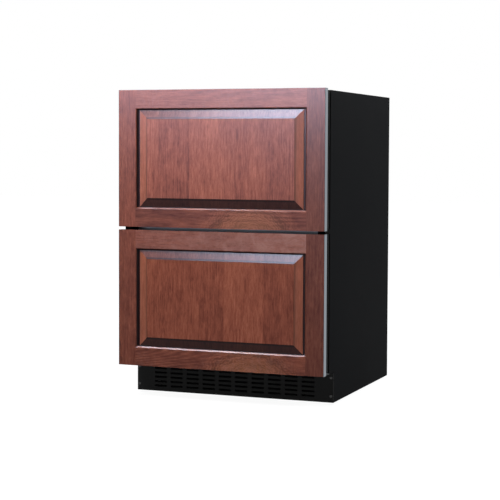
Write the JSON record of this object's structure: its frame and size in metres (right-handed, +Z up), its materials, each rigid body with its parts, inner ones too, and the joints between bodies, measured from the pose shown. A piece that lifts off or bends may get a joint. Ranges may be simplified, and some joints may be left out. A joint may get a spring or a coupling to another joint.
{
  "type": "undercounter drawer refrigerator",
  "caption": "Black undercounter refrigerator with full-width drawers faced in stained raised-panel wood, over a recessed slotted toe grille.",
  "frame": {"origin": "on the floor under the middle of the whole object: X = 0 is the middle of its width, Y = 0 the middle of its depth, Z = 0 the floor under the feet", "axes": "+Z up, +Y towards the back, so the drawer fronts face -Y and open along -Y; +X is to the right as seen from the front"},
  "size_m": [0.597, 0.629, 0.848],
  "materials": {
    "bin_plastic": "moulded pale grey",
    "black_metal": "black coated",
    "black_painted_steel": "black satin paint",
    "black_plastic": "moulded black",
    "button_plastic": "moulded grey",
    "coil_aluminium": "mill",
    "compressor_black": "gloss black",
    "copper": "drawn copper",
    "foam": "rigid foam",
    "foot_plastic": "moulded black",
    "grille_black": "black satin paint",
    "lens_plastic": "opal",
    "rubber": "soft black",
    "satin_steel": "satin steel",
    "slide_steel": "bright zinc",
    "stained_wood": "semi-gloss red-brown stain, straight grain",
    "white_plastic": "vacuum-formed white",
    "zinc_steel": "galvanised sheet"
  },
  "bodies": {
    "cabinet": {"left_side_panel": "black_painted_steel", "right_side_panel": "black_painted_steel", "top_panel": "black_painted_steel", "rear_panel": "zinc_steel", "base_pan": "zinc_steel", "compartment_divider": "zinc_steel", "mullion": "satin_steel", "mullion_end_caps": "black_plastic", "toe_grille": "grille_black", "toe_grille_screws": "black_metal", "inner_liner": "white_plastic", "cabinet_foam": "foam", "cabinet_slide_members": "slide_steel", "evaporator_cover": "white_plastic", "evaporator_coil": "coil_aluminium", "evaporator_fan_motor": "black_plastic", "control_housing": "black_plastic", "light_lens": "lens_plastic", "compressor": "compressor_black", "compressor_grommets": "rubber", "condenser_coil": "black_metal", "condenser_fan_shroud": "zinc_steel", "condenser_fan_motor": "black_plastic", "refrigerant_tubes": "copper", "condensate_drain": "white_plastic", "power_inlet": "black_plastic"},
    "upper_drawer": {"upper_left_stile": "stained_wood", "upper_right_stile": "stained_wood", "upper_top_rail": "stained_wood", "upper_bottom_rail": "stained_wood", "upper_raised_panel": "stained_wood", "upper_front_tray": "satin_steel", "upper_door_shell": "black_plastic", "upper_door_foam": "foam", "upper_door_liner": "white_plastic", "upper_gasket": "rubber", "upper_bin": "bin_plastic", "upper_drawer_slide_members": "slide_steel"},
    "lower_drawer": {"lower_left_stile": "stained_wood", "lower_right_stile": "stained_wood", "lower_top_rail": "stained_wood", "lower_bottom_rail": "stained_wood", "lower_raised_panel": "stained_wood", "lower_front_tray": "satin_steel", "lower_door_shell": "black_plastic", "lower_door_foam": "foam", "lower_door_liner": "white_plastic", "lower_gasket": "rubber", "lower_bin": "bin_plastic", "lower_drawer_slide_members": "slide_steel"},
    "upper_intermediate": {"upper_intermediate_slides": "slide_steel"},
    "lower_intermediate": {"lower_intermediate_slides": "slide_steel"},
    "condenser_fan": {"condenser_fan_blades": "black_plastic"},
    "evaporator_fan": {"evaporator_fan_blades": "white_plastic"},
    "warmer_button": {"warmer_button": "button_plastic"},
    "cooler_button": {"cooler_button": "button_plastic"},
    "front_left_foot": {"front_left_foot": "foot_plastic"},
    "front_right_foot": {"front_right_foot": "foot_plastic"},
    "rear_left_foot": {"rear_left_foot": "foot_plastic"},
    "rear_right_foot": {"rear_right_foot": "foot_plastic"}
  },
  "joints": [
    {"name": "upper_drawer_slide", "type": "slide", "parent": "cabinet", "child": "upper_drawer", "axis": [0, -1, 0], "range_m": [0, 0.44]},
    {"name": "lower_drawer_slide", "type": "slide", "parent": "cabinet", "child": "lower_drawer", "axis": [0, -1, 0], "range_m": [0, 0.268]},
    {"name": "upper_intermediate_slide", "type": "slide", "parent": "cabinet", "child": "upper_intermediate", "axis": [0, -1, 0], "range_m": [0, 0.22]},
    {"name": "lower_intermediate_slide", "type": "slide", "parent": "cabinet", "child": "lower_intermediate", "axis": [0, -1, 0], "range_m": [0, 0.134]},
    {"name": "condenser_fan_spin", "type": "hinge", "parent": "cabinet", "child": "condenser_fan", "pos_m": [-0.12, 0.12, 0.0965], "axis": [0, -1, 0], "continuous": true},
    {"name": "evaporator_fan_spin", "type": "hinge", "parent": "cabinet", "child": "evaporator_fan", "pos_m": [0, 0.1425, 0.778], "axis": [0, 0, 1], "continuous": true},
    {"name": "warmer_button_press", "type": "slide", "parent": "cabinet", "child": "warmer_button", "axis": [0, 1, 0], "range_m": [0, 0.001], "stiffness_N_per_m": 300, "springref_m": -0.001},
    {"name": "cooler_button_press", "type": "slide", "parent": "cabinet", "child": "cooler_button", "axis": [0, 1, 0], "range_m": [0, 0.001], "stiffness_N_per_m": 300, "springref_m": -0.001},
    {"name": "front_left_foot_screw", "type": "slide", "parent": "cabinet", "child": "front_left_foot", "axis": [0, 0, -1], "range_m": [0, 0.025]},
    {"name": "front_right_foot_screw", "type": "slide", "parent": "cabinet", "child": "front_right_foot", "axis": [0, 0, -1], "range_m": [0, 0.025]},
    {"name": "rear_left_foot_screw", "type": "slide", "parent": "cabinet", "child": "rear_left_foot", "axis": [0, 0, -1], "range_m": [0, 0.025]},
    {"name": "rear_right_foot_screw", "type": "slide", "parent": "cabinet", "child": "rear_right_foot", "axis": [0, 0, -1], "range_m": [0, 0.025]}
  ],
  "couplings": [
    {"joint": "upper_intermediate_slide", "follows": "upper_drawer_slide", "ratio": 0.5},
    {"joint": "lower_intermediate_slide", "follows": "lower_drawer_slide", "ratio": 0.5}
  ]
}
